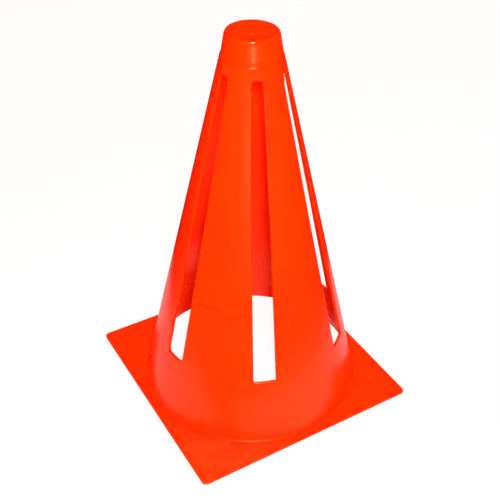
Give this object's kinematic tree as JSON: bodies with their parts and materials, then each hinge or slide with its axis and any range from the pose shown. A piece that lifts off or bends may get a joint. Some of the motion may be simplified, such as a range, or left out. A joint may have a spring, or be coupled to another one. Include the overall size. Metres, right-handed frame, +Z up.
{
  "type": "sports marker cone",
  "caption": "Hollow marker cone on a thin square base, with tapered slots; pressing its crown bows the wall staves outward.",
  "frame": {"origin": "middle of the underside of the square plate, on the ground", "axes": "+Z up along the axis of the cone; the sides of the plate run along X and Y"},
  "size_m": [0.143, 0.143, 0.23],
  "materials": {
    "orange_plastic": "smooth, glossy, soft orange-red moulding"
  },
  "bodies": {
    "root": {"base_plate": "orange_plastic", "skirt": "orange_plastic"},
    "crown": {"collar": "orange_plastic", "crown_cap": "orange_plastic"},
    "lower_1": {"lower_stave_1": "orange_plastic"},
    "upper_1": {"upper_stave_1": "orange_plastic"},
    "lower_2": {"lower_stave_2": "orange_plastic"},
    "upper_2": {"upper_stave_2": "orange_plastic"},
    "lower_3": {"lower_stave_3": "orange_plastic"},
    "upper_3": {"upper_stave_3": "orange_plastic"},
    "lower_4": {"lower_stave_4": "orange_plastic"},
    "upper_4": {"upper_stave_4": "orange_plastic"},
    "lower_5": {"lower_stave_5": "orange_plastic"},
    "upper_5": {"upper_stave_5": "orange_plastic"},
    "lower_6": {"lower_stave_6": "orange_plastic"},
    "upper_6": {"upper_stave_6": "orange_plastic"}
  },
  "joints": [
    {"name": "skirt_bend_1", "type": "hinge", "parent": "root", "child": "lower_1", "pos_m": [0.04472, 0.03519, 0.0425], "axis": [-0.6184, 0.7859, 0], "range_deg": [0, 25], "stiffness_Nm_per_rad": 3},
    {"name": "middle_bend_1", "type": "hinge", "parent": "lower_1", "child": "upper_1", "pos_m": [0.02655, 0.02089, 0.12495], "axis": [0.6184, -0.7859, 0], "range_deg": [0, 53.07]},
    {"name": "skirt_bend_2", "type": "hinge", "parent": "root", "child": "lower_2", "pos_m": [-0.00812, 0.05633, 0.0425], "axis": [-0.9898, -0.1426, 0], "range_deg": [0, 25]},
    {"name": "middle_bend_2", "type": "hinge", "parent": "lower_2", "child": "upper_2", "pos_m": [-0.00482, 0.03344, 0.12495], "axis": [0.9898, 0.1426, 0], "range_deg": [0, 53.07]},
    {"name": "skirt_bend_3", "type": "hinge", "parent": "root", "child": "lower_3", "pos_m": [-0.05284, 0.02113, 0.0425], "axis": [-0.3714, -0.9285, 0], "range_deg": [0, 25]},
    {"name": "middle_bend_3", "type": "hinge", "parent": "lower_3", "child": "upper_3", "pos_m": [-0.03137, 0.01255, 0.12495], "axis": [0.3714, 0.9285, 0], "range_deg": [0, 53.07]},
    {"name": "skirt_bend_4", "type": "hinge", "parent": "root", "child": "lower_4", "pos_m": [-0.04472, -0.03519, 0.0425], "axis": [0.6184, -0.7859, 0], "range_deg": [0, 25]},
    {"name": "middle_bend_4", "type": "hinge", "parent": "lower_4", "child": "upper_4", "pos_m": [-0.02655, -0.02089, 0.12495], "axis": [-0.6184, 0.7859, 0], "range_deg": [0, 53.07]},
    {"name": "skirt_bend_5", "type": "hinge", "parent": "root", "child": "lower_5", "pos_m": [0.00812, -0.05633, 0.0425], "axis": [0.9898, 0.1426, 0], "range_deg": [0, 25]},
    {"name": "middle_bend_5", "type": "hinge", "parent": "lower_5", "child": "upper_5", "pos_m": [0.00482, -0.03344, 0.12495], "axis": [-0.9898, -0.1426, 0], "range_deg": [0, 53.07]},
    {"name": "skirt_bend_6", "type": "hinge", "parent": "root", "child": "lower_6", "pos_m": [0.05284, -0.02113, 0.0425], "axis": [0.3714, 0.9285, 0], "range_deg": [0, 25]},
    {"name": "middle_bend_6", "type": "hinge", "parent": "lower_6", "child": "upper_6", "pos_m": [0.03137, -0.01255, 0.12495], "axis": [-0.3714, -0.9285, 0], "range_deg": [0, 53.07]},
    {"name": "collar_bend", "type": "hinge", "parent": "upper_1", "child": "crown", "pos_m": [0.01472, 0.01158, 0.2074], "axis": [-0.6184, 0.7859, 0], "range_deg": [0, 28.07]}
  ],
  "couplings": [
    {"joint": "middle_bend_1", "follows": "skirt_bend_1", "ratio": 2.1223},
    {"joint": "skirt_bend_2", "follows": "skirt_bend_1", "ratio": 1},
    {"joint": "middle_bend_2", "follows": "skirt_bend_1", "ratio": 2.1223},
    {"joint": "skirt_bend_3", "follows": "skirt_bend_1", "ratio": 1},
    {"joint": "middle_bend_3", "follows": "skirt_bend_1", "ratio": 2.1223},
    {"joint": "skirt_bend_4", "follows": "skirt_bend_1", "ratio": 1},
    {"joint": "middle_bend_4", "follows": "skirt_bend_1", "ratio": 2.1223},
    {"joint": "skirt_bend_5", "follows": "skirt_bend_1", "ratio": 1},
    {"joint": "middle_bend_5", "follows": "skirt_bend_1", "ratio": 2.1223},
    {"joint": "skirt_bend_6", "follows": "skirt_bend_1", "ratio": 1},
    {"joint": "middle_bend_6", "follows": "skirt_bend_1", "ratio": 2.1223},
    {"joint": "collar_bend", "follows": "skirt_bend_1", "ratio": 1.1223}
  ]
}
